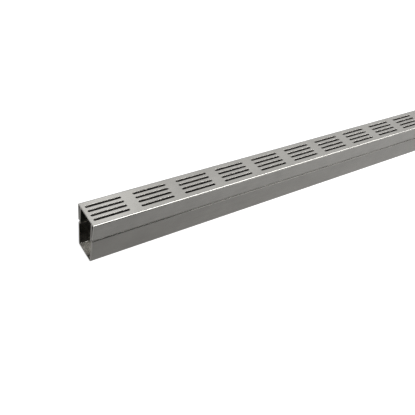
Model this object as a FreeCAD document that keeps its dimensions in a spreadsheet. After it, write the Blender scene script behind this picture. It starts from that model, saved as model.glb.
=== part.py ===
"""Channel drain: a folded sheet-steel channel and the slotted cover that sits on its lips.

Millimetres.  +X runs along the channel, +Y across it and +Z up.  The origin is the middle of
the underside.  Both pieces are folded sheet: each section is drawn as one half with sharp
corners, padded along X, mirrored, and then every fold gets its radius on both faces of the sheet.
"""
import FreeCAD
import Part
import Sketcher
import math
import os

# Every size that can be set by itself: name, value, what it is.
SIZES = (
    ("channel_length", 1000, "length of the channel and of its cover"),
    ("overall_height", 75, "underside of the channel to the top of the cover"),
    ("top_width", 50, "over the cover, where its flanges would meet the top in a sharp corner"),
    ("bottom_width", 39, "over the underside, where the walls would meet it in a sharp corner"),
    ("body_sheet", 2.5, "sheet thickness of the channel"),
    ("cover_sheet", 2, "sheet thickness of the cover"),
    ("flange_depth", 29, "top of the cover to the lower edge of its flanges"),
    ("lip_clearance", 1.5, "gap between a lip and the lower edge of the flange outside it"),
    ("shoulder_clearance", 2.4, "gap between the lower edge of a flange and the shoulder"),
    ("shoulder_slope", 15, "rise of the shoulder above the horizontal, in degrees"),
    ("bottom_fold_radius", 0.5, "inside radius of the folds at the underside"),
    ("shoulder_fold_radius", 0.7, "inside radius of the two folds of each shoulder"),
    ("cover_fold_radius", 0.5, "inside radius of the folds of the cover"),
    ("slot_width", 4, "width of a slot"),
    ("slot_length", 54, "length of a slot over its round ends"),
    ("row_spacing", 9, "one slot to the next, across the cover"),
    ("group_pitch", 72, "one group of slots to the next, along the cover"),
    ("least_end_margin", 4.5, "least bare sheet between the last slots and the cover's end"),
)

# What follows from the sizes, as expressions of the sheet.
LEAN = "(Sizes.top_width - Sizes.bottom_width) / 2 / Sizes.overall_height"
FLANGE_EDGE_HEIGHT = "Sizes.overall_height - Sizes.flange_depth"
FLANGE_INNER_HALF = (
    f"Sizes.bottom_width / 2 + {LEAN} * ({FLANGE_EDGE_HEIGHT})"
    f" - Sizes.cover_sheet * sqrt(1 + ({LEAN})^2)"
)
LIP_OUTER_HALF = f"{FLANGE_INNER_HALF} - Sizes.lip_clearance"
CLEAR_HALF = f"{LIP_OUTER_HALF} - Sizes.body_sheet"
ROW_COUNT = f"floor((2 * ({CLEAR_HALF}) - Sizes.slot_width) / Sizes.row_spacing) + 1"
GROUP_COUNT = (
    "floor((Sizes.channel_length - 2 * Sizes.least_end_margin - Sizes.slot_length)"
    " / Sizes.group_pitch) + 1"
)

doc = FreeCAD.newDocument("channel_drain")


def make_sizes():
    """Write the sheet of driving sizes, one row each: value with its alias, then the note."""
    sheet = doc.addObject("Spreadsheet::Sheet", "Sizes")
    for row, (name, value, note) in enumerate(SIZES, start=1):
        sheet.set(f"A{row}", str(value))
        sheet.setAlias(f"A{row}", name)
        sheet.set(f"B{row}", note)
    doc.recompute()
    return sheet


def make_body(name):
    """Add an empty PartDesign body whose label names its file."""
    body = doc.addObject("PartDesign::Body", name)
    body.Label = name
    return body


def origin_feature(body, role):
    """Return the body's own origin plane or axis of that role."""
    return next(item for item in body.Origin.OriginFeatures if item.Role == role)


def add_sketch(body, name, plane):
    """Add a sketch on one of the body's origin planes."""
    sketch = body.newObject("Sketcher::SketchObject", name)
    sketch.AttachmentSupport = (origin_feature(body, plane), [""])
    sketch.MapMode = "FlatFace"
    return sketch


def constrain(sketch, kind, *where, name=None, size=None):
    """Add a constraint, and bind it to an expression of the sheet where it has a size."""
    if size is None:
        return sketch.addConstraint(Sketcher.Constraint(kind, *where))
    start = FreeCAD.Units.Quantity(sketch.evalExpression(size))
    if start.Unit == FreeCAD.Units.Angle:
        start = start.getValueAs("rad")
    index = sketch.addConstraint(Sketcher.Constraint(kind, *where, float(start)))
    sketch.renameConstraint(index, name)
    sketch.setExpression(f"Constraints.{name}", size)
    return index


def add_outline(sketch, points):
    """Draw a closed outline of straight lines, joined end to end, and return their numbers."""
    ends = points[1:] + points[:1]
    lines = [
        sketch.addGeometry(Part.LineSegment(FreeCAD.Vector(*start, 0), FreeCAD.Vector(*end, 0)))
        for start, end in zip(points, ends)
    ]
    for line, following in zip(lines, lines[1:] + lines[:1]):
        constrain(sketch, "Coincident", line, 2, following, 1)
    return lines


def add_mark(sketch, name, across, height):
    """Add a construction point held at two expressions: its place across and its height."""
    place = FreeCAD.Vector(sketch.evalExpression(across), sketch.evalExpression(height), 0)
    mark = sketch.addGeometry(Part.Point(place), True)
    constrain(sketch, "DistanceX", -1, 1, mark, 1, name=f"{name}_across", size=across)
    constrain(sketch, "DistanceY", -1, 1, mark, 1, name=f"{name}_height", size=height)
    return mark


def add_thickness(sketch, name, outer, inner, size):
    """Hold an inner line parallel to its outer line, one sheet thickness away."""
    constrain(sketch, "Parallel", outer, inner)
    constrain(sketch, "Distance", inner, 1, outer, name=name, size=size)


def pad_both_ways(body, sketch):
    """Pad a half section along X, evenly about its plane, and mirror it across the channel."""
    pad = body.newObject("PartDesign::Pad", f"{body.Name}_half")
    pad.Profile = sketch
    pad.SideType = "Symmetric"
    pad.setExpression("Length", "Sizes.channel_length")
    whole = body.newObject("PartDesign::Mirrored", f"{body.Name}_whole")
    whole.Originals = [pad]
    whole.MirrorPlane = (origin_feature(body, "XZ_Plane"), [""])
    body.Tip = whole
    doc.recompute()
    return whole


def edges_along(shape, corner):
    """Name the edges along X that pass through a corner of the half section or its mirror."""
    across, height = corner
    names = []
    for number, edge in enumerate(shape.Edges, start=1):
        middle = edge.CenterOfMass
        runs_along = abs(edge.tangentAt(edge.FirstParameter).x) > 0.999
        if runs_along and abs(abs(middle.y) - across) < 1e-4 and abs(middle.z - height) < 1e-4:
            names.append(f"Edge{number}")
    return names


def fold(body, base, name, corner, radius):
    """Round one corner of the section, on both sides of the piece, to a radius expression."""
    fillet = body.newObject("PartDesign::Fillet", name)
    fillet.Base = (base, edges_along(base.Shape, corner))
    fillet.setExpression("Radius", radius)
    body.Tip = fillet
    doc.recompute()
    return fillet


def corner_of(sketch, line):
    """Return where a line of the sketch starts, as its place across and its height."""
    point = sketch.getPoint(line, 1)
    return point.x, point.y


def make_channel_body():
    """The channel: flat underside, leaning walls, a shoulder on each, and an upright lip.

    The outside of each wall lies in the plane from the corner of the underside to the corner of
    the cover's top, so that the cover's flange carries on flush above it.  The shoulder steps in
    by the flange's sheet and the lip clearance, and the lip rises to the underside of the cover.
    """
    body = make_body("channel_body")
    section = add_sketch(body, "channel_section", "YZ_Plane")
    bottom = section.evalExpression("Sizes.bottom_width / 2")
    step_out = section.evalExpression(f"{FLANGE_INNER_HALF} + Sizes.cover_sheet")
    step_in = section.evalExpression(LIP_OUTER_HALF)
    step_high = section.evalExpression(FLANGE_EDGE_HEIGHT)
    step_low = section.evalExpression(f"{FLANGE_EDGE_HEIGHT} - Sizes.cover_sheet")
    top = section.evalExpression("Sizes.overall_height - Sizes.cover_sheet")
    sheet = section.evalExpression("Sizes.body_sheet")
    outside = [(0, 0), (bottom, 0), (step_out, step_low), (step_in, step_high), (step_in, top)]
    inside = [(step_in - sheet, top), (step_in - sheet, step_high - sheet),
              (step_out - sheet, step_low - sheet), (bottom - sheet, sheet), (0, sheet)]
    flat, wall, shoulder, lip, rim, lip_in, shoulder_in, wall_in, flat_in, middle = add_outline(
        section, outside + inside
    )
    top_corner = add_mark(section, "top_corner", "Sizes.top_width / 2", "Sizes.overall_height")
    flange_edge = add_mark(section, "flange_edge", FLANGE_INNER_HALF, FLANGE_EDGE_HEIGHT)
    constrain(section, "Coincident", flat, 1, -1, 1)
    constrain(section, "Horizontal", flat)
    constrain(section, "Vertical", middle)
    constrain(section, "Vertical", lip)
    constrain(section, "Horizontal", rim)
    constrain(section, "PointOnObject", top_corner, 1, wall)
    constrain(section, "DistanceX", flat, 1, flat, 2, name="bottom_half", size="Sizes.bottom_width / 2")
    constrain(section, "Angle", shoulder, name="slope", size="(180 - Sizes.shoulder_slope) * 1deg")
    constrain(section, "Distance", flange_edge, 1, shoulder,
              name="shoulder_gap", size="Sizes.shoulder_clearance")
    constrain(section, "DistanceX", -1, 1, lip, 1, name="lip_half", size=LIP_OUTER_HALF)
    constrain(section, "DistanceY", -1, 1, lip, 2,
              name="lip_top", size="Sizes.overall_height - Sizes.cover_sheet")
    for name, outer, inner in (
        ("flat_sheet", flat, flat_in),
        ("wall_sheet", wall, wall_in),
        ("shoulder_sheet", shoulder, shoulder_in),
        ("lip_sheet", lip, lip_in),
    ):
        add_thickness(section, name, outer, inner, "Sizes.body_sheet")
    step = pad_both_ways(body, section)
    tight_bottom, tight_shoulder = "Sizes.bottom_fold_radius", "Sizes.shoulder_fold_radius"
    for name, line, radius in (
        ("bottom_fold_outside", wall, f"{tight_bottom} + Sizes.body_sheet"),
        ("bottom_fold_inside", flat_in, tight_bottom),
        ("shoulder_fold_outside", shoulder, f"{tight_shoulder} + Sizes.body_sheet"),
        ("shoulder_fold_inside", wall_in, tight_shoulder),
        ("lip_fold_outside", lip, tight_shoulder),
        ("lip_fold_inside", shoulder_in, f"{tight_shoulder} + Sizes.body_sheet"),
    ):
        step = fold(body, step, name, corner_of(section, line), radius)
    return body


def make_slotted_cover():
    """The cover: a flat plate on the lips, a leaning flange down each side, and the slots."""
    body = make_body("slotted_cover")
    section = add_sketch(body, "cover_section", "YZ_Plane")
    high = section.evalExpression("Sizes.overall_height")
    low = section.evalExpression(FLANGE_EDGE_HEIGHT)
    half = section.evalExpression("Sizes.top_width / 2")
    inner_half = section.evalExpression(FLANGE_INNER_HALF)
    sheet = section.evalExpression("Sizes.cover_sheet")
    top, flange, edge, flange_in, top_in, middle = add_outline(
        section,
        [(0, high), (half, high), (inner_half + sheet, low),
         (inner_half, low), (half - sheet, high - sheet), (0, high - sheet)],
    )
    bottom_corner = add_mark(section, "bottom_corner", "Sizes.bottom_width / 2", "0 * Sizes.top_width")
    constrain(section, "PointOnObject", top, 1, -2)
    constrain(section, "Horizontal", top)
    constrain(section, "Vertical", middle)
    constrain(section, "PointOnObject", bottom_corner, 1, flange)
    constrain(section, "Perpendicular", flange, edge)
    constrain(section, "DistanceY", -1, 1, top, 1, name="plate_top", size="Sizes.overall_height")
    constrain(section, "DistanceX", top, 1, top, 2, name="top_half", size="Sizes.top_width / 2")
    constrain(section, "DistanceY", -1, 1, flange, 2, name="flange_edge", size=FLANGE_EDGE_HEIGHT)
    add_thickness(section, "plate_sheet", top, top_in, "Sizes.cover_sheet")
    add_thickness(section, "flange_sheet", flange, flange_in, "Sizes.cover_sheet")
    step = pad_both_ways(body, section)
    outside = "Sizes.cover_fold_radius + Sizes.cover_sheet"
    step = fold(body, step, "cover_fold_outside", corner_of(section, flange), outside)
    step = fold(body, step, "cover_fold_inside", corner_of(section, top_in), "Sizes.cover_fold_radius")
    cut_slots(body, step)
    return body


def cut_slots(body, plate):
    """Cut one slot with round ends through the plate, and repeat it along and across."""
    slot = add_sketch(body, "slot", "XY_Plane")
    slot.setExpression("AttachmentOffset.Base.z", "Sizes.overall_height")
    straight_part = "Sizes.slot_length - Sizes.slot_width"
    first_along = f"({GROUP_COUNT} - 1) * Sizes.group_pitch / 2 + ({straight_part}) / 2"
    first_across = f"({ROW_COUNT} - 1) * Sizes.row_spacing / 2"
    radius = slot.evalExpression("Sizes.slot_width / 2")
    straight = slot.evalExpression(straight_part)
    left = FreeCAD.Vector(-slot.evalExpression(first_along), -slot.evalExpression(first_across), 0)
    right = left + FreeCAD.Vector(straight, 0, 0)
    up = FreeCAD.Vector(0, 0, 1)
    side = FreeCAD.Vector(0, radius, 0)
    quarter = math.pi / 2
    right_end = slot.addGeometry(Part.ArcOfCircle(Part.Circle(right, up, radius), -quarter, quarter))
    left_end = slot.addGeometry(Part.ArcOfCircle(Part.Circle(left, up, radius), quarter, 3 * quarter))
    upper = slot.addGeometry(Part.LineSegment(right + side, left + side))
    lower = slot.addGeometry(Part.LineSegment(left - side, right - side))
    constrain(slot, "Tangent", right_end, 2, upper, 1)
    constrain(slot, "Tangent", upper, 2, left_end, 1)
    constrain(slot, "Tangent", left_end, 2, lower, 1)
    constrain(slot, "Tangent", lower, 2, right_end, 1)
    constrain(slot, "Horizontal", upper)
    constrain(slot, "Radius", right_end, name="round_end", size="Sizes.slot_width / 2")
    constrain(slot, "DistanceX", left_end, 3, right_end, 3, name="straight_part", size=straight_part)
    constrain(slot, "DistanceX", left_end, 3, -1, 1, name="first_along", size=first_along)
    constrain(slot, "DistanceY", left_end, 3, -1, 1, name="first_across", size=first_across)
    cut = body.newObject("PartDesign::Pocket", "first_slot")
    cut.Profile = slot
    cut.Type = "ThroughAll"
    body.Tip = cut
    doc.recompute()
    slots = body.newObject("PartDesign::LinearPattern", "slot_groups")
    slots.Originals = [cut]
    slots.Direction = (origin_feature(body, "X_Axis"), [""])
    slots.setExpression("Length", f"({GROUP_COUNT} - 1) * Sizes.group_pitch")
    slots.setExpression("Occurrences", GROUP_COUNT)
    slots.Direction2 = (origin_feature(body, "Y_Axis"), [""])
    slots.setExpression("Length2", f"({ROW_COUNT} - 1) * Sizes.row_spacing")
    slots.setExpression("Occurrences2", ROW_COUNT)
    body.Tip = slots
    doc.recompute()
    one_slot = plate.Shape.Volume - cut.Shape.Volume
    all_slots = plate.Shape.Volume - slots.Shape.Volume
    count = slots.Occurrences * slots.Occurrences2
    if one_slot <= 0 or abs(all_slots - count * one_slot) > 1e-3 * all_slots:
        raise RuntimeError("the slots did not cut through the plate")
    print(f"{slots.Occurrences} groups of {slots.Occurrences2} slots")


def check_document():
    """Stop if any object failed, or any sketch can still move."""
    doc.recompute()
    for item in doc.Objects:
        if "Invalid" in item.State or "Error" in item.State:
            raise RuntimeError(f"{item.Label} did not compute: {item.State}")
        if item.TypeId == "Sketcher::SketchObject" and item.solve() != 0:
            raise RuntimeError(f"{item.Label} did not solve")


def write_parts(bodies):
    """Check each piece and write it to its own file."""
    os.makedirs("parts", exist_ok=True)
    for body in bodies:
        shape = body.Shape
        if shape.isNull() or not shape.isValid() or len(shape.Solids) != 1:
            raise RuntimeError(f"{body.Label} is not one valid solid")
        shape.exportStep(f"parts/{body.Label}.step")
        print(f"{body.Label}: {shape.Volume / 1000:.1f} cm3")


make_sizes()
pieces = [make_channel_body(), make_slotted_cover()]
check_document()
write_parts(pieces)
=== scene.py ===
"""Visual model of a channel drain: a folded steel channel and the slotted cover on its lips.

Metres.  +X runs along the channel, +Y across it and +Z up, from the middle of the underside.
Both pieces are folded sheet.  Each is swept along X as one closed outline with rounded edges,
and the slots of the cover are rings of faces set into its plate.
"""

from __future__ import annotations

import logging
import math
from dataclasses import dataclass
from enum import Enum

import bmesh
import bpy
import numpy as np
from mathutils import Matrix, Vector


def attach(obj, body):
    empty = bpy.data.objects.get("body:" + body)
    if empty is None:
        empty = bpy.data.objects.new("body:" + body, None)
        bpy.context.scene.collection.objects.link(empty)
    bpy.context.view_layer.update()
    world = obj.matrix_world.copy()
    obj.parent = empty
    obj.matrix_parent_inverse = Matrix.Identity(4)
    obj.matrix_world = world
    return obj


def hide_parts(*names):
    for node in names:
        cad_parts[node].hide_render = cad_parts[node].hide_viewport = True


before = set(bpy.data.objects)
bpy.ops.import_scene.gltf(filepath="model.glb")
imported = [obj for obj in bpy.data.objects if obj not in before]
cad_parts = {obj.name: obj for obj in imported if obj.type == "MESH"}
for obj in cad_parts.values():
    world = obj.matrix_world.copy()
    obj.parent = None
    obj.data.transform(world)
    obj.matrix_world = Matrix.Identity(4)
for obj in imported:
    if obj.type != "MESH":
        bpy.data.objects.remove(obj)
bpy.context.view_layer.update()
log = logging.getLogger("channel_drain")

COVER_SHEET = 0.002
FLANGE_DEPTH = 0.029
MERGE_WITHIN = 1e-6
SAME_PLACE_DIGITS = 9
LAMP_POWER = 4.0


def away_from(heading: np.ndarray) -> np.ndarray:
    """Turn unit headings (..., 2) a quarter turn to the right, which is out of the sheet."""
    return np.stack([heading[..., 1], -heading[..., 0]], axis=-1)


def meeting_point(
    a: np.ndarray, along_a: np.ndarray, b: np.ndarray, along_b: np.ndarray
) -> np.ndarray:
    """Return where two lines of the section cross.

    Args:
        a: A point of the first line.
        along_a: Its heading.
        b: A point of the second line.
        along_b: Its heading.

    Returns:
        The crossing point, from solving a + s * along_a = b + t * along_b.
    """
    step = np.linalg.solve(np.stack([along_a, -along_b], axis=1), b - a)
    return a + step[0] * along_a


def folded_line(
    corners: np.ndarray, radii: np.ndarray, steps: int
) -> tuple[np.ndarray, np.ndarray]:
    """Round the corners of an open line, as a press brake folds a sheet.

    Each fold is an arc that touches both of its runs: it starts r * tan(turn / 2) before the
    corner, its centre stands r to the side that the line turns to, and its point at angle t is
    centre - r * cos(t) * side + r * sin(t) * heading.

    Args:
        corners: Sharp corners (C, 2), with the two ends of the line.
        radii: Radius of the sheet's outer face at each inner corner (C - 2).
        steps: Number of short runs in each fold.

    Returns:
        The points (N, 2) of the outer face, and its outward unit normals (N, 2).
    """
    runs = np.diff(corners, axis=0)
    runs /= np.linalg.norm(runs, axis=1, keepdims=True)
    before, after = runs[:-1], runs[1:]
    turn = before[:, 0] * after[:, 1] - before[:, 1] * after[:, 0]
    angle = np.arccos(np.clip((before * after).sum(axis=1), -1.0, 1.0))
    side = -away_from(before) * np.sign(turn)[:, None]
    start = corners[1:-1] - before * (radii * np.tan(angle / 2))[:, None]
    centre = start + side * radii[:, None]
    t = np.linspace(0.0, 1.0, steps + 1)[None, :, None] * angle[:, None, None]
    arcs = centre[:, None] + radii[:, None, None] * (
        np.sin(t) * before[:, None] - np.cos(t) * side[:, None]
    )
    headings = np.cos(t) * before[:, None] + np.sin(t) * side[:, None]
    points = np.concatenate([corners[:1], arcs.reshape(-1, 2), corners[-1:]])
    headings = np.concatenate([runs[:1], headings.reshape(-1, 2), runs[-1:]])
    return points, away_from(headings)


def grid_faces(numbers: np.ndarray, around: bool = False) -> np.ndarray:
    """Return the quads (F, 4) of a grid of vertex numbers, closed along its last axis if around."""
    if around:
        numbers = np.concatenate([numbers, numbers[..., :1]], axis=-1)
    here, right = numbers[..., :-1, :-1], numbers[..., :-1, 1:]
    below, across = numbers[..., 1:, :-1], numbers[..., 1:, 1:]
    return np.stack([here, right, across, below], axis=-1).reshape(-1, 4)


def math_node(
    tree: bpy.types.NodeTree, operation: str, second: float | None = None
) -> bpy.types.Node:
    """Add a Math node to a tree.

    Args:
        tree: The node tree.
        operation: Blender's name for what the node does.
        second: Value of its second input, where nothing is to be linked there.

    Returns:
        The node.
    """
    node = tree.nodes.new("ShaderNodeMath")
    node.operation = operation
    if second is not None:
        node.inputs[1].default_value = second
    return node


@dataclass(frozen=True)
class SoftLamp:
    """A rectangular lamp that the camera doesn't see.

    Its level is the brightness of its face, and its power is LAMP_POWER times that for each
    square metre.
    """

    name: str
    place: tuple[float, float, float]
    target: tuple[float, float, float]
    size: tuple[float, float]
    level: float
    mirrored: bool = True

    def hang(self) -> None:
        """Put the lamp in its place, facing its target."""
        data = bpy.data.lights.new(self.name, "AREA")
        data.shape = "RECTANGLE"
        data.size, data.size_y = self.size
        data.energy = LAMP_POWER * self.level * self.size[0] * self.size[1]
        lamp = bpy.data.objects.new(self.name, data)
        lamp.location = self.place
        lamp.visible_camera = False
        lamp.visible_glossy = self.mirrored
        facing = Vector(self.target) - Vector(self.place)
        lamp.rotation_euler = facing.to_track_quat("-Z", "Y").to_euler()
        bpy.context.scene.collection.objects.link(lamp)


# Two lamps hang behind the drain, three hang above the floor in front of it, one stands far in
# front and one off the near end.  The last lights the floor close in front of the drain's
# middle, and the metal doesn't mirror it.
LAMPS = (
    SoftLamp("broad_lamp", (1.9, 1.35, 1.5), (1.9, 0.0, 0.0), (3.0, 1.3), 0.64),
    SoftLamp("back_lamp", (0.2, 1.35, 1.5), (0.2, 0.0, 0.0), (0.4, 1.3), 1.05),
    SoftLamp("near_lamp", (0.0, -0.475, 1.5), (0.0, 0.0, 0.0), (0.6, 0.7), 5.4),
    SoftLamp("middle_lamp", (0.8, -0.475, 1.5), (0.8, 0.0, 0.0), (1.0, 0.7), 4.9),
    SoftLamp("far_lamp", (1.9, -0.475, 1.5), (1.9, 0.0, 0.0), (1.2, 0.7), 4.6),
    SoftLamp("front_lamp", (1.9, -1.9, 0.6), (1.9, 0.0, 0.0), (2.4, 0.6), 1.3),
    SoftLamp("end_lamp", (-1.6, -0.2, 0.5), (-0.5, 0.0, 0.05), (0.8, 0.8), 1.2),
    SoftLamp("fill_lamp", (0.08, -0.45, 0.3), (0.08, -0.1, 0.0), (0.5, 0.3), 2.1, False),
)


@dataclass(frozen=True)
class Studio:
    """The floor, the surroundings and the camera."""

    floor_half: float = 6.0
    floor_gap: float = 0.0004
    floor_lines: int = 9
    floor_tone: float = 0.37
    floor_roughness: float = 0.9
    floor_specular: float = 0.1
    camera_lift: float = 0.95
    mirror_lift: float = 0.1
    world_level: float = 0.02
    camera_place: tuple[float, float, float] = (-0.71974, -0.46764, 0.57223)
    camera_turn: tuple[float, float, float] = (47.787, -10.023, -33.689)
    lens: float = 45.62
    sensor_width: float = 36.0
    clip_start: float = 0.01

    def make_camera(self) -> None:
        """Set up the camera over the near end of the drain."""
        data = bpy.data.cameras.new("camera")
        data.lens = self.lens
        data.sensor_width = self.sensor_width
        data.clip_start = self.clip_start
        camera = bpy.data.objects.new("camera", data)
        camera.location = self.camera_place
        camera.rotation_euler = [math.radians(angle) for angle in self.camera_turn]
        bpy.context.scene.collection.objects.link(camera)
        bpy.context.scene.camera = camera

    @staticmethod
    def seen_level(
        tree: bpy.types.NodeTree, camera: float, mirrored: float
    ) -> bpy.types.NodeSocket:
        """Return a level that depends on what looks: the camera, a mirror or glass, or neither.

        Args:
            tree: The node tree to build it in.
            camera: Level for the camera's own rays.
            mirrored: Level for rays off metal or through glass; all other rays get none.

        Returns:
            The socket that carries the sum of the levels that apply.
        """
        links = tree.links
        path = tree.nodes.new("ShaderNodeLightPath")
        either = math_node(tree, "MAXIMUM")
        links.new(path.outputs["Is Glossy Ray"], either.inputs[0])
        links.new(path.outputs["Is Transmission Ray"], either.inputs[1])
        seen = math_node(tree, "MULTIPLY", camera)
        links.new(path.outputs["Is Camera Ray"], seen.inputs[0])
        total = math_node(tree, "MULTIPLY_ADD", mirrored)
        links.new(either.outputs["Value"], total.inputs[0])
        links.new(seen.outputs["Value"], total.inputs[2])
        return total.outputs["Value"]

    def make_world(self) -> None:
        """Light the surroundings evenly, and show them white behind the floor."""
        world = bpy.data.worlds.new("surroundings")
        world.use_nodes = True
        tree = world.node_tree
        background = tree.nodes["Background"]
        level = math_node(tree, "MAXIMUM", self.world_level)
        tree.links.new(self.seen_level(tree, 1.0, self.mirror_lift), level.inputs[0])
        tree.links.new(level.outputs["Value"], background.inputs["Strength"])
        background.inputs["Color"].default_value = (1.0, 1.0, 1.0, 1.0)
        bpy.context.scene.world = world

    def make_floor(self) -> None:
        """Lay the floor: a flat grid of points just under the drain, which takes its shadow."""
        across = np.linspace(-self.floor_half, self.floor_half, self.floor_lines)
        x, y = np.meshgrid(across, across, indexing="ij")
        points = np.stack([x, y, np.full_like(x, -self.floor_gap)], axis=-1).reshape(-1, 3)
        numbers = np.arange(x.size).reshape(x.shape)
        mesh = bpy.data.meshes.new("floor")
        mesh.from_pydata(points.tolist(), [], grid_faces(numbers)[:, ::-1].tolist())
        floor = bpy.data.objects.new("floor", mesh)
        bpy.context.scene.collection.objects.link(floor)
        material = bpy.data.materials.new("pale_floor")
        material.use_nodes = True
        shader = material.node_tree.nodes["Principled BSDF"]
        shader.inputs["Base Color"].default_value = (*[self.floor_tone] * 3, 1.0)
        shader.inputs["Roughness"].default_value = self.floor_roughness
        shader.inputs["Specular IOR Level"].default_value = self.floor_specular
        shader.inputs["Emission Color"].default_value = (1.0, 1.0, 1.0, 1.0)
        lift = self.seen_level(material.node_tree, self.camera_lift, self.mirror_lift)
        material.node_tree.links.new(lift, shader.inputs["Emission Strength"])
        mesh.materials.append(material)

    def build(self) -> None:
        """Make the camera, the floor, the lamps and the surroundings."""
        bpy.context.scene.view_settings.view_transform = "Standard"
        self.make_camera()
        self.make_floor()
        for lamp in LAMPS:
            lamp.hang()
        self.make_world()


class Steel(Enum):
    """The two sheets that the drain is folded from, by material slot."""

    CHANNEL = "channel_steel"
    COVER = "cover_steel"


@dataclass(frozen=True)
class BrushedSteel:
    """A satin stainless steel sheet, brushed along its length."""

    sheet: Steel
    pale: tuple[float, float, float]
    deep: tuple[float, float, float]
    # Tone of the cut edges: bare metal with a painted highlight on top.
    edge: tuple[float, float, float]
    roughness: float = 0.16
    grain_depth: float = 0.04
    grain: tuple[float, float, float] = (9.0, 1600.0, 1600.0)
    grain_height: float = 0.0001

    def material(self) -> bpy.types.Material:
        """Return the material, with the shared group placed in it with this finish's values."""
        material = bpy.data.materials.new(self.sheet.value)
        material.use_nodes = True
        nodes, links = material.node_tree.nodes, material.node_tree.links
        shader = nodes["Principled BSDF"]
        shader.inputs["Metallic"].default_value = 1.0
        place = nodes.new("ShaderNodeTexCoord")
        worn = nodes.new("ShaderNodeAttribute")
        worn.attribute_name = FoldedSheet.EDGE
        brushed = nodes.new("ShaderNodeGroup")
        brushed.node_tree = brushed_sheet_group()
        brushed.inputs["Grain Scale"].default_value = self.grain
        brushed.inputs["Pale"].default_value = (*self.pale, 1.0)
        brushed.inputs["Deep"].default_value = (*self.deep, 1.0)
        brushed.inputs["Edge Tone And Highlight"].default_value = (*self.edge, 1.0)
        brushed.inputs["Roughness"].default_value = self.roughness
        bump = nodes.new("ShaderNodeBump")
        bump.inputs["Strength"].default_value = self.grain_depth
        bump.inputs["Distance"].default_value = self.grain_height
        links.new(place.outputs["Object"], brushed.inputs["Place"])
        links.new(worn.outputs["Fac"], brushed.inputs["Edge"])
        links.new(brushed.outputs["Color"], shader.inputs["Base Color"])
        links.new(brushed.outputs["Roughness"], shader.inputs["Roughness"])
        links.new(brushed.outputs["Height"], bump.inputs["Height"])
        links.new(bump.outputs["Normal"], shader.inputs["Normal"])
        return material


@dataclass(frozen=True)
class Weathering:
    """How the brushing and the cloudiness share the tone and the roughness of a sheet."""

    grain_detail: float = 4.0
    grain_harshness: float = 0.65
    cloud_scale: float = 38.0
    cloud_detail: float = 3.0
    cloud_share: float = 0.45
    grain_share: float = 0.55
    deepest: float = 0.32
    palest: float = 0.68
    cloud_roughness: float = 0.12
    cut_roughness: float = 0.25


def brushed_sheet_group() -> bpy.types.NodeTree:
    """Return the shared group for brushed sheet, building it the first time.

    Long fine noise makes the brushing, broad soft noise makes the cloudiness of a handled
    sheet, and the edge mask blends in the roughness of a freshly cut edge and a pale edge tone,
    which is bare cut metal made paler still as a painted highlight along the edges.
    """
    known = bpy.data.node_groups.get("brushed_sheet")
    if known:
        return known
    group = bpy.data.node_groups.new("brushed_sheet", "ShaderNodeTree")
    for name, kind in (
        ("Place", "NodeSocketVector"),
        ("Grain Scale", "NodeSocketVector"),
        ("Edge", "NodeSocketFloat"),
        ("Pale", "NodeSocketColor"),
        ("Deep", "NodeSocketColor"),
        ("Edge Tone And Highlight", "NodeSocketColor"),
        ("Roughness", "NodeSocketFloat"),
    ):
        group.interface.new_socket(name, in_out="INPUT", socket_type=kind)
    for name, kind in (
        ("Color", "NodeSocketColor"),
        ("Roughness", "NodeSocketFloat"),
        ("Height", "NodeSocketFloat"),
    ):
        group.interface.new_socket(name, in_out="OUTPUT", socket_type=kind)
    nodes, links, wear = group.nodes, group.links, Weathering()
    given = nodes.new("NodeGroupInput")
    result = nodes.new("NodeGroupOutput")
    stretched = nodes.new("ShaderNodeVectorMath")
    stretched.operation = "MULTIPLY"
    links.new(given.outputs["Place"], stretched.inputs[0])
    links.new(given.outputs["Grain Scale"], stretched.inputs[1])
    brushing = nodes.new("ShaderNodeTexNoise")
    brushing.inputs["Scale"].default_value = 1.0
    brushing.inputs["Detail"].default_value = wear.grain_detail
    brushing.inputs["Roughness"].default_value = wear.grain_harshness
    links.new(stretched.outputs["Vector"], brushing.inputs["Vector"])
    clouds = nodes.new("ShaderNodeTexNoise")
    clouds.inputs["Scale"].default_value = wear.cloud_scale
    clouds.inputs["Detail"].default_value = wear.cloud_detail
    links.new(given.outputs["Place"], clouds.inputs["Vector"])
    blend = math_node(group, "MULTIPLY_ADD", wear.cloud_share)
    links.new(clouds.outputs["Fac"], blend.inputs[0])
    share = math_node(group, "MULTIPLY", wear.grain_share)
    links.new(brushing.outputs["Fac"], share.inputs[0])
    links.new(share.outputs["Value"], blend.inputs[2])
    spread = nodes.new("ShaderNodeMapRange")
    spread.inputs["From Min"].default_value = wear.deepest
    spread.inputs["From Max"].default_value = wear.palest
    links.new(blend.outputs["Value"], spread.inputs["Value"])
    tone = nodes.new("ShaderNodeMix")
    tone.data_type = "RGBA"
    links.new(spread.outputs["Result"], tone.inputs["Factor"])
    links.new(given.outputs["Deep"], tone.inputs["A"])
    links.new(given.outputs["Pale"], tone.inputs["B"])
    # The edge tone mixed in here is bare cut metal lifted into a painted highlight along the edges.
    cut = nodes.new("ShaderNodeMix")
    cut.data_type = "RGBA"
    links.new(given.outputs["Edge"], cut.inputs["Factor"])
    links.new(tone.outputs["Result"], cut.inputs["A"])
    links.new(given.outputs["Edge Tone And Highlight"], cut.inputs["B"])
    links.new(cut.outputs["Result"], result.inputs["Color"])
    rough = math_node(group, "MULTIPLY_ADD", wear.cloud_roughness)
    links.new(clouds.outputs["Fac"], rough.inputs[0])
    links.new(given.outputs["Roughness"], rough.inputs[2])
    matt = math_node(group, "MULTIPLY_ADD", wear.cut_roughness)
    links.new(given.outputs["Edge"], matt.inputs[0])
    links.new(rough.outputs["Value"], matt.inputs[2])
    links.new(matt.outputs["Value"], result.inputs["Roughness"])
    links.new(brushing.outputs["Fac"], result.inputs["Height"])
    return group


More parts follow.
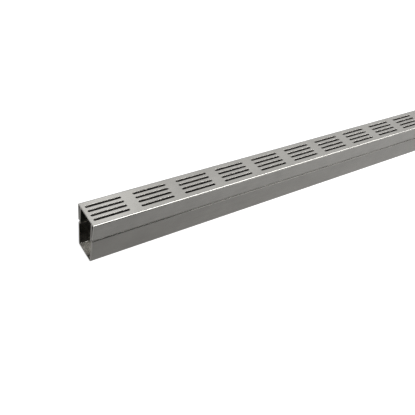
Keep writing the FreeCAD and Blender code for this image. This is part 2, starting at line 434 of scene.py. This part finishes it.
@dataclass
class FoldedSheet:
    """A sheet folded along X: its outer face is a line of the section, swept the whole length."""

    EDGE = "cut_edge"

    name: str
    finish: BrushedSteel
    length: float = 1.0
    height: float = 0.075
    top_width: float = 0.050
    bottom_width: float = 0.039
    sheet: float = 0.0025
    edge_radius: float = 0.00025
    edge_steps: int = 3
    fold_steps: int = 10
    plain_rings: int = 41

    def wall_corners(self) -> tuple[np.ndarray, np.ndarray]:
        """Return the corner of the underside and of the cover's top, with the wall between."""
        return (
            np.array([self.bottom_width / 2, 0.0]),
            np.array([self.top_width / 2, self.height]),
        )

    def face_line(self) -> tuple[np.ndarray, np.ndarray]:
        """Return the points and outward normals of the outer face of the section."""
        raise NotImplementedError

    def outline(self) -> tuple[np.ndarray, np.ndarray, np.ndarray]:
        """Close the section round the sheet, with rounded edges at its two rims.

        The outline is a core line plus an outward direction times what is left of the edge
        radius.  The core is the outer face moved in by the edge radius, one corner of each rim
        with a quarter turn of directions, and the inner face moved in the same way.

        Returns:
            The core (M, 2), its outward directions (M, 2) and the cut-edge mask (M), in an order
            in which point k of the outer side faces point M - 1 - k of the inner side.
        """
        points, normals = self.face_line()
        e = self.edge_radius
        first = self._out_of_rim(points[0], points[1])
        last = self._out_of_rim(points[-1], points[-2])
        points = points.copy()
        points[0] -= first * e
        points[-1] -= last * e
        outer_core = points - normals * e
        inner_core = points - normals * (self.sheet - e)
        quarter = np.linspace(0.0, np.pi / 2, self.edge_steps + 1)[:, None]
        outer = (
            np.concatenate([
                np.repeat(outer_core[:1], len(quarter), axis=0),
                outer_core[1:-1],
                np.repeat(outer_core[-1:], len(quarter), axis=0),
            ]),
            np.concatenate([
                np.cos(quarter) * first + np.sin(quarter) * normals[0],
                normals[1:-1],
                np.sin(quarter[::-1]) * normals[-1] + np.cos(quarter[::-1]) * last,
            ]),
        )
        inner = (
            np.concatenate([
                np.repeat(inner_core[:1], len(quarter), axis=0),
                inner_core[1:-1],
                np.repeat(inner_core[-1:], len(quarter), axis=0),
            ]),
            np.concatenate([
                np.cos(quarter) * first - np.sin(quarter) * normals[0],
                -normals[1:-1],
                -np.sin(quarter[::-1]) * normals[-1] + np.cos(quarter[::-1]) * last,
            ]),
        )
        rim = np.zeros(len(outer[0]))
        rim[: self.edge_steps] = 1.0
        rim[-self.edge_steps :] = 1.0
        core = np.concatenate([outer[0], inner[0][::-1]])
        outward = np.concatenate([outer[1], inner[1][::-1]])
        return core, outward, np.concatenate([rim, rim[::-1]])

    @staticmethod
    def _out_of_rim(end: np.ndarray, before: np.ndarray) -> np.ndarray:
        """Return the unit heading out of the sheet's rim."""
        return (end - before) / np.linalg.norm(end - before)

    def stations(self) -> np.ndarray:
        """Return the places along X between the rounded ends where the sweep has a ring."""
        half = self.length / 2 - self.edge_radius
        return np.linspace(-half, half, self.plain_rings)

    def sweep(self) -> tuple[np.ndarray, np.ndarray, np.ndarray]:
        """Sweep the outline along X and close its ends.

        Ring j stands at x = +-(half - e + e * sin t) with its outline drawn at core + e * cos(t)
        * outward, so that t from 0 to a quarter turn rounds the end's edges, and between the
        ends t is 0.  The last ring of each end is closed by faces from each point of the outer
        side to the point of the inner side that faces it.

        Returns:
            The vertices (V, 3), the quads (F, 4) and the cut-edge mask of the vertices (V).
        """
        core, outward, rim = self.outline()
        e, half = self.edge_radius, self.length / 2
        t = np.linspace(0.0, np.pi / 2, self.edge_steps + 1)[1:]
        stations = self.stations()
        end = half - e + e * np.sin(t)
        x = np.concatenate([-end[::-1], stations, end])
        grown = e * np.concatenate([np.cos(t[::-1]), np.ones(len(stations)), np.cos(t)])
        section = core[None] + grown[:, None, None] * outward[None]
        along = np.broadcast_to(x[:, None, None], (*section.shape[:2], 1))
        points = np.concatenate([along, section], axis=2)
        numbers = np.arange(points.shape[0] * points.shape[1]).reshape(points.shape[:2])
        edge = np.broadcast_to(rim, numbers.shape).copy()
        edge[: len(t)] = 1.0
        edge[-len(t) :] = 1.0
        side = self.kept_quads(points, numbers)
        middle = numbers.shape[1] // 2
        facing = numbers[:, ::-1]
        caps = [
            grid_faces(np.stack([numbers[row, :middle], facing[row, :middle]]))
            for row in (0, -1)
        ]
        return points.reshape(-1, 3), np.concatenate([side, *caps]), edge.reshape(-1)

    def kept_quads(self, points: np.ndarray, numbers: np.ndarray) -> np.ndarray:
        """Return the quads of the swept sides, all of them unless a piece has openings."""
        return grid_faces(numbers, around=True)

    def more_surfaces(self) -> tuple[np.ndarray, np.ndarray, np.ndarray]:
        """Return vertices, quads and cut-edge mask of further surfaces, none for a plain sheet."""
        return np.zeros((0, 3)), np.zeros((0, 4), int), np.zeros(0)

    def build(self) -> bpy.types.Object:
        """Make the piece, closed and with its faces outwards, and put it on its body."""
        points, quads, edge = self.sweep()
        extra_points, extra_quads, extra_edge = self.more_surfaces()
        mesh = bpy.data.meshes.new(self.name)
        mesh.from_pydata(
            np.concatenate([points, extra_points]).tolist(),
            [],
            np.concatenate([quads, extra_quads + len(points)]).tolist(),
        )
        mask = mesh.attributes.new(self.EDGE, "FLOAT", "POINT")
        mask.data.foreach_set("value", np.concatenate([edge, extra_edge]))
        joined = bmesh.new()
        joined.from_mesh(mesh)
        bmesh.ops.remove_doubles(joined, verts=joined.verts, dist=MERGE_WITHIN)
        bmesh.ops.recalc_face_normals(joined, faces=joined.faces)
        open_edges = sum(not border.is_manifold for border in joined.edges)
        joined.to_mesh(mesh)
        joined.free()
        mesh.shade_smooth()
        mesh.materials.append(self.finish.material())
        piece = bpy.data.objects.new(self.name, mesh)
        bpy.context.scene.collection.objects.link(piece)
        weighted = piece.modifiers.new("even_shading", "WEIGHTED_NORMAL")
        weighted.mode = "FACE_AREA"
        weighted.weight = 100
        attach(piece, "root")
        log.info("%s: %d faces, %d open edges", self.name, len(mesh.polygons), open_edges)
        return piece


@dataclass
class Channel(FoldedSheet):
    """The channel: flat underside, leaning walls, a shoulder on each, and an upright lip."""

    cover_sheet: float = COVER_SHEET
    flange_depth: float = FLANGE_DEPTH
    lip_clearance: float = 0.0015
    shoulder_clearance: float = 0.0024
    shoulder_slope: float = 15.0
    bottom_fold: float = 0.0005
    shoulder_fold: float = 0.0007

    def face_line(self) -> tuple[np.ndarray, np.ndarray]:
        """Draw the outside of the channel from the far lip, under it, to the near lip.

        The wall lies from the corner of the underside to the corner of the cover's top.  The
        shoulder crosses it on a line that slopes up and inwards, one clearance below the lower
        inner corner of the cover's flange, and the lip rises where the lip clearance puts it.

        Returns:
            Points and outward normals of the outside.
        """
        foot, crown = self.wall_corners()
        climb = (crown - foot) / np.linalg.norm(crown - foot)
        edge_height = self.height - self.flange_depth
        flange_outer = foot[0] + climb[0] / climb[1] * edge_height
        flange_inner = np.array([flange_outer - self.cover_sheet / climb[1], edge_height])
        lip = flange_inner[0] - self.lip_clearance
        slope = math.radians(self.shoulder_slope)
        inwards = np.array([-math.cos(slope), math.sin(slope)])
        on_shoulder = flange_inner - away_from(inwards) * self.shoulder_clearance
        upright = np.array([0.0, 1.0])
        low = meeting_point(foot, climb, on_shoulder, inwards)
        high = meeting_point(np.array([lip, 0.0]), upright, on_shoulder, inwards)
        near = np.array([foot, low, high, [lip, self.height - self.cover_sheet]])
        far = near[::-1] * [-1.0, 1.0]
        outside, inside = self.shoulder_fold + self.sheet, self.shoulder_fold
        bottom = self.bottom_fold + self.sheet
        radii = np.array([inside, outside, bottom, bottom, outside, inside])
        return folded_line(np.concatenate([far, near]), radii, self.fold_steps)


@dataclass
class SlottedCover(FoldedSheet):
    """The cover: a flat plate on the lips, a leaning flange down each side, and the slots."""

    flange_depth: float = FLANGE_DEPTH
    fold_radius: float = 0.0005
    slot_width: float = 0.004
    slot_length: float = 0.054
    row_spacing: float = 0.009
    group_pitch: float = 0.072
    rows: int = 4
    groups: int = 14
    end_steps: int = 12
    straight_steps: int = 4

    def around_slot(self) -> tuple[np.ndarray, np.ndarray, np.ndarray]:
        """Walk once round a slot and its patch of plate, with the same steps.

        At angle a of a round end the slot's direction is (cos a, sin a).  The patch's border
        runs along its long side while a is over 45 degrees from the end's own direction, and
        across its short side for the rest.

        Returns:
            Middle of the rounding or the place on the slot's middle line (K), the direction out
            of it (K, 2), and how far along and across the patch's border is (K, 2), as fractions
            of what lies beyond the straight part and of half a row.
        """
        half = (self.slot_length - self.slot_width) / 2
        end = np.linspace(90.0, -90.0, self.end_steps + 1)  # degrees
        straight = np.linspace(half, -half, self.straight_steps + 1)[1:-1]
        flat = np.zeros_like(straight)
        angle = np.radians(end)
        beyond = np.clip((90.0 - np.abs(end)) / 45.0, 0.0, 1.0)
        across = np.clip(end / 45.0, -1.0, 1.0)
        right, left = np.full_like(end, half), np.full_like(end, -half)
        middle = np.concatenate([right, straight, left, -straight])
        direction = np.concatenate([
            np.stack([np.cos(angle), np.sin(angle)], axis=1),
            np.stack([flat, flat - 1.0], axis=1),
            np.stack([-np.cos(angle), -np.sin(angle)], axis=1),
            np.stack([flat, flat + 1.0], axis=1),
        ])
        border = np.concatenate([
            np.stack([beyond, across], axis=1),
            np.stack([flat, flat - 1.0], axis=1),
            np.stack([-beyond, -across], axis=1),
            np.stack([flat, flat + 1.0], axis=1),
        ])
        return middle, direction, border

    def group_middles(self) -> np.ndarray:
        """Return where the middle of each group of slots is along X."""
        return (np.arange(self.groups) - (self.groups - 1) / 2) * self.group_pitch

    def row_middles(self) -> np.ndarray:
        """Return where the middle of each row of slots is across the cover."""
        return (np.arange(self.rows) - (self.rows - 1) / 2) * self.row_spacing

    def patch_along(self) -> np.ndarray:
        """Return the X of each patch border point (groups, K), short of the rounded ends."""
        middle, _, border = self.around_slot()
        group = self.group_middles()
        half = (self.slot_length - self.slot_width) / 2
        stop = self.length / 2 - self.edge_radius
        right = np.minimum(group + self.group_pitch / 2, stop) - group - half
        left = group - np.maximum(group - self.group_pitch / 2, -stop) - half
        part = border[None, :, 0]
        beyond = np.where(part > 0, right[:, None], left[:, None]) * part
        return group[:, None] + middle[None] + beyond

    def face_line(self) -> tuple[np.ndarray, np.ndarray]:
        """Draw the outside of the cover from one flange's edge over the plate to the other's.

        The plate between the folds has a point wherever a patch of plate round a slot has one.

        Returns:
            Points and outward normals of the outside.
        """
        foot, crown = self.wall_corners()
        edge_height = self.height - self.flange_depth
        low = foot + (crown - foot) * (edge_height / self.height)
        corners = np.array([low, crown, crown * [-1.0, 1.0], low * [-1.0, 1.0]])
        outer = self.fold_radius + self.sheet
        points, normals = folded_line(corners, np.array([outer, outer]), self.fold_steps)
        _, _, border = self.around_slot()
        across = np.unique(np.round(border[:, 1], SAME_PLACE_DIGITS)) * self.row_spacing / 2
        places = np.round(self.row_middles()[:, None] + across, SAME_PLACE_DIGITS)
        plate = np.unique(places)[::-1]
        plate = np.stack([plate, np.full_like(plate, self.height)], axis=1)
        split = len(points) // 2
        upward = np.tile([0.0, 1.0], (len(plate), 1))
        return (
            np.concatenate([points[:split], plate, points[split:]]),
            np.concatenate([normals[:split], upward, normals[split:]]),
        )

    def stations(self) -> np.ndarray:
        """Return the X of every patch border point, each once."""
        return np.unique(np.round(self.patch_along(), SAME_PLACE_DIGITS))

    def kept_quads(self, points: np.ndarray, numbers: np.ndarray) -> np.ndarray:
        """Return the quads of the swept sides, less those that the slots' patches replace."""
        quads = grid_faces(numbers, around=True)
        middle = points.reshape(-1, 3)[quads].mean(axis=1)
        reach = self.rows * self.row_spacing / 2
        stop = self.length / 2 - self.edge_radius
        patched = (np.abs(middle[:, 1]) < reach) & (np.abs(middle[:, 0]) < stop)
        return quads[~patched]

    def more_surfaces(self) -> tuple[np.ndarray, np.ndarray, np.ndarray]:
        """Set a ring of faces round every slot, down its wall and round it again underneath.

        Row v of the ring is the slot's middle line plus its direction times half the slot's
        width and a reach, at a height: the border of the patch, then the edge's quarter round
        with reach e * (1 - sin t) and drop e * (1 - cos t), then the same mirrored below.

        Returns:
            Vertices, quads and the cut-edge mask of all the rings.
        """
        middle, direction, border = self.around_slot()
        e = self.edge_radius
        t = np.linspace(0.0, np.pi / 2, self.edge_steps + 1)
        reach = e * (1 - np.sin(t))
        drop = e * (1 - np.cos(t))
        level = np.concatenate([[0.0], drop, self.sheet - drop[::-1], [self.sheet]])
        wide = self.slot_width / 2 + np.concatenate([[0.0], reach, reach[::-1], [0.0]])
        group, row = self.group_middles(), self.row_middles()
        shape = (len(group), len(row), len(level), len(middle))
        x = group[:, None, None, None] + middle + wide[:, None] * direction[:, 0]
        y = row[:, None, None] + wide[:, None] * direction[:, 1]
        x = np.broadcast_to(x, shape).copy()
        y = np.broadcast_to(y[None], shape).copy()
        z = np.broadcast_to((self.height - level)[:, None], shape)
        edge_of_patch = row[:, None] + border[:, 1] * self.row_spacing / 2
        for side in (0, -1):
            x[:, :, side] = self.patch_along()[:, None]
            y[:, :, side] = edge_of_patch[None]
        edge = np.zeros(shape)
        edge[:, :, 2:-2] = 1.0
        numbers = np.arange(x.size).reshape(shape)
        return (
            np.stack([x, y, z], axis=-1).reshape(-1, 3),
            grid_faces(numbers, around=True),
            edge.reshape(-1),
        )


class Drain:
    """The whole drain: the channel with its cover on it."""

    # Tone of the cut edges and slot walls: bare cut metal, made paler still as a painted highlight
    # along the edges.
    CUT_EDGE_AND_HIGHLIGHT = (0.80, 0.78, 0.74)
    STEEL_BODY = BrushedSteel(
        sheet=Steel.CHANNEL,
        pale=(0.425, 0.415, 0.39),
        deep=(0.342, 0.334, 0.314),
        edge=CUT_EDGE_AND_HIGHLIGHT,
    )
    STEEL_COVER = BrushedSteel(
        sheet=Steel.COVER,
        pale=(0.50, 0.49, 0.463),
        deep=(0.395, 0.387, 0.366),
        edge=CUT_EDGE_AND_HIGHLIGHT,
    )

    def build(self) -> None:
        """Build both pieces, each in place of its plain node."""
        channel = Channel("folded_channel", self.STEEL_BODY).build()
        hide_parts("channel_body")
        cover = SlottedCover("slotted_plate", self.STEEL_COVER, sheet=COVER_SHEET).build()
        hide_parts("slotted_cover")


def main() -> None:
    """Build the drain, then the studio round it."""
    logging.basicConfig(level=logging.INFO, format="%(name)s: %(message)s")
    Drain().build()
    Studio().build()


if __name__ == "__main__":
    main()
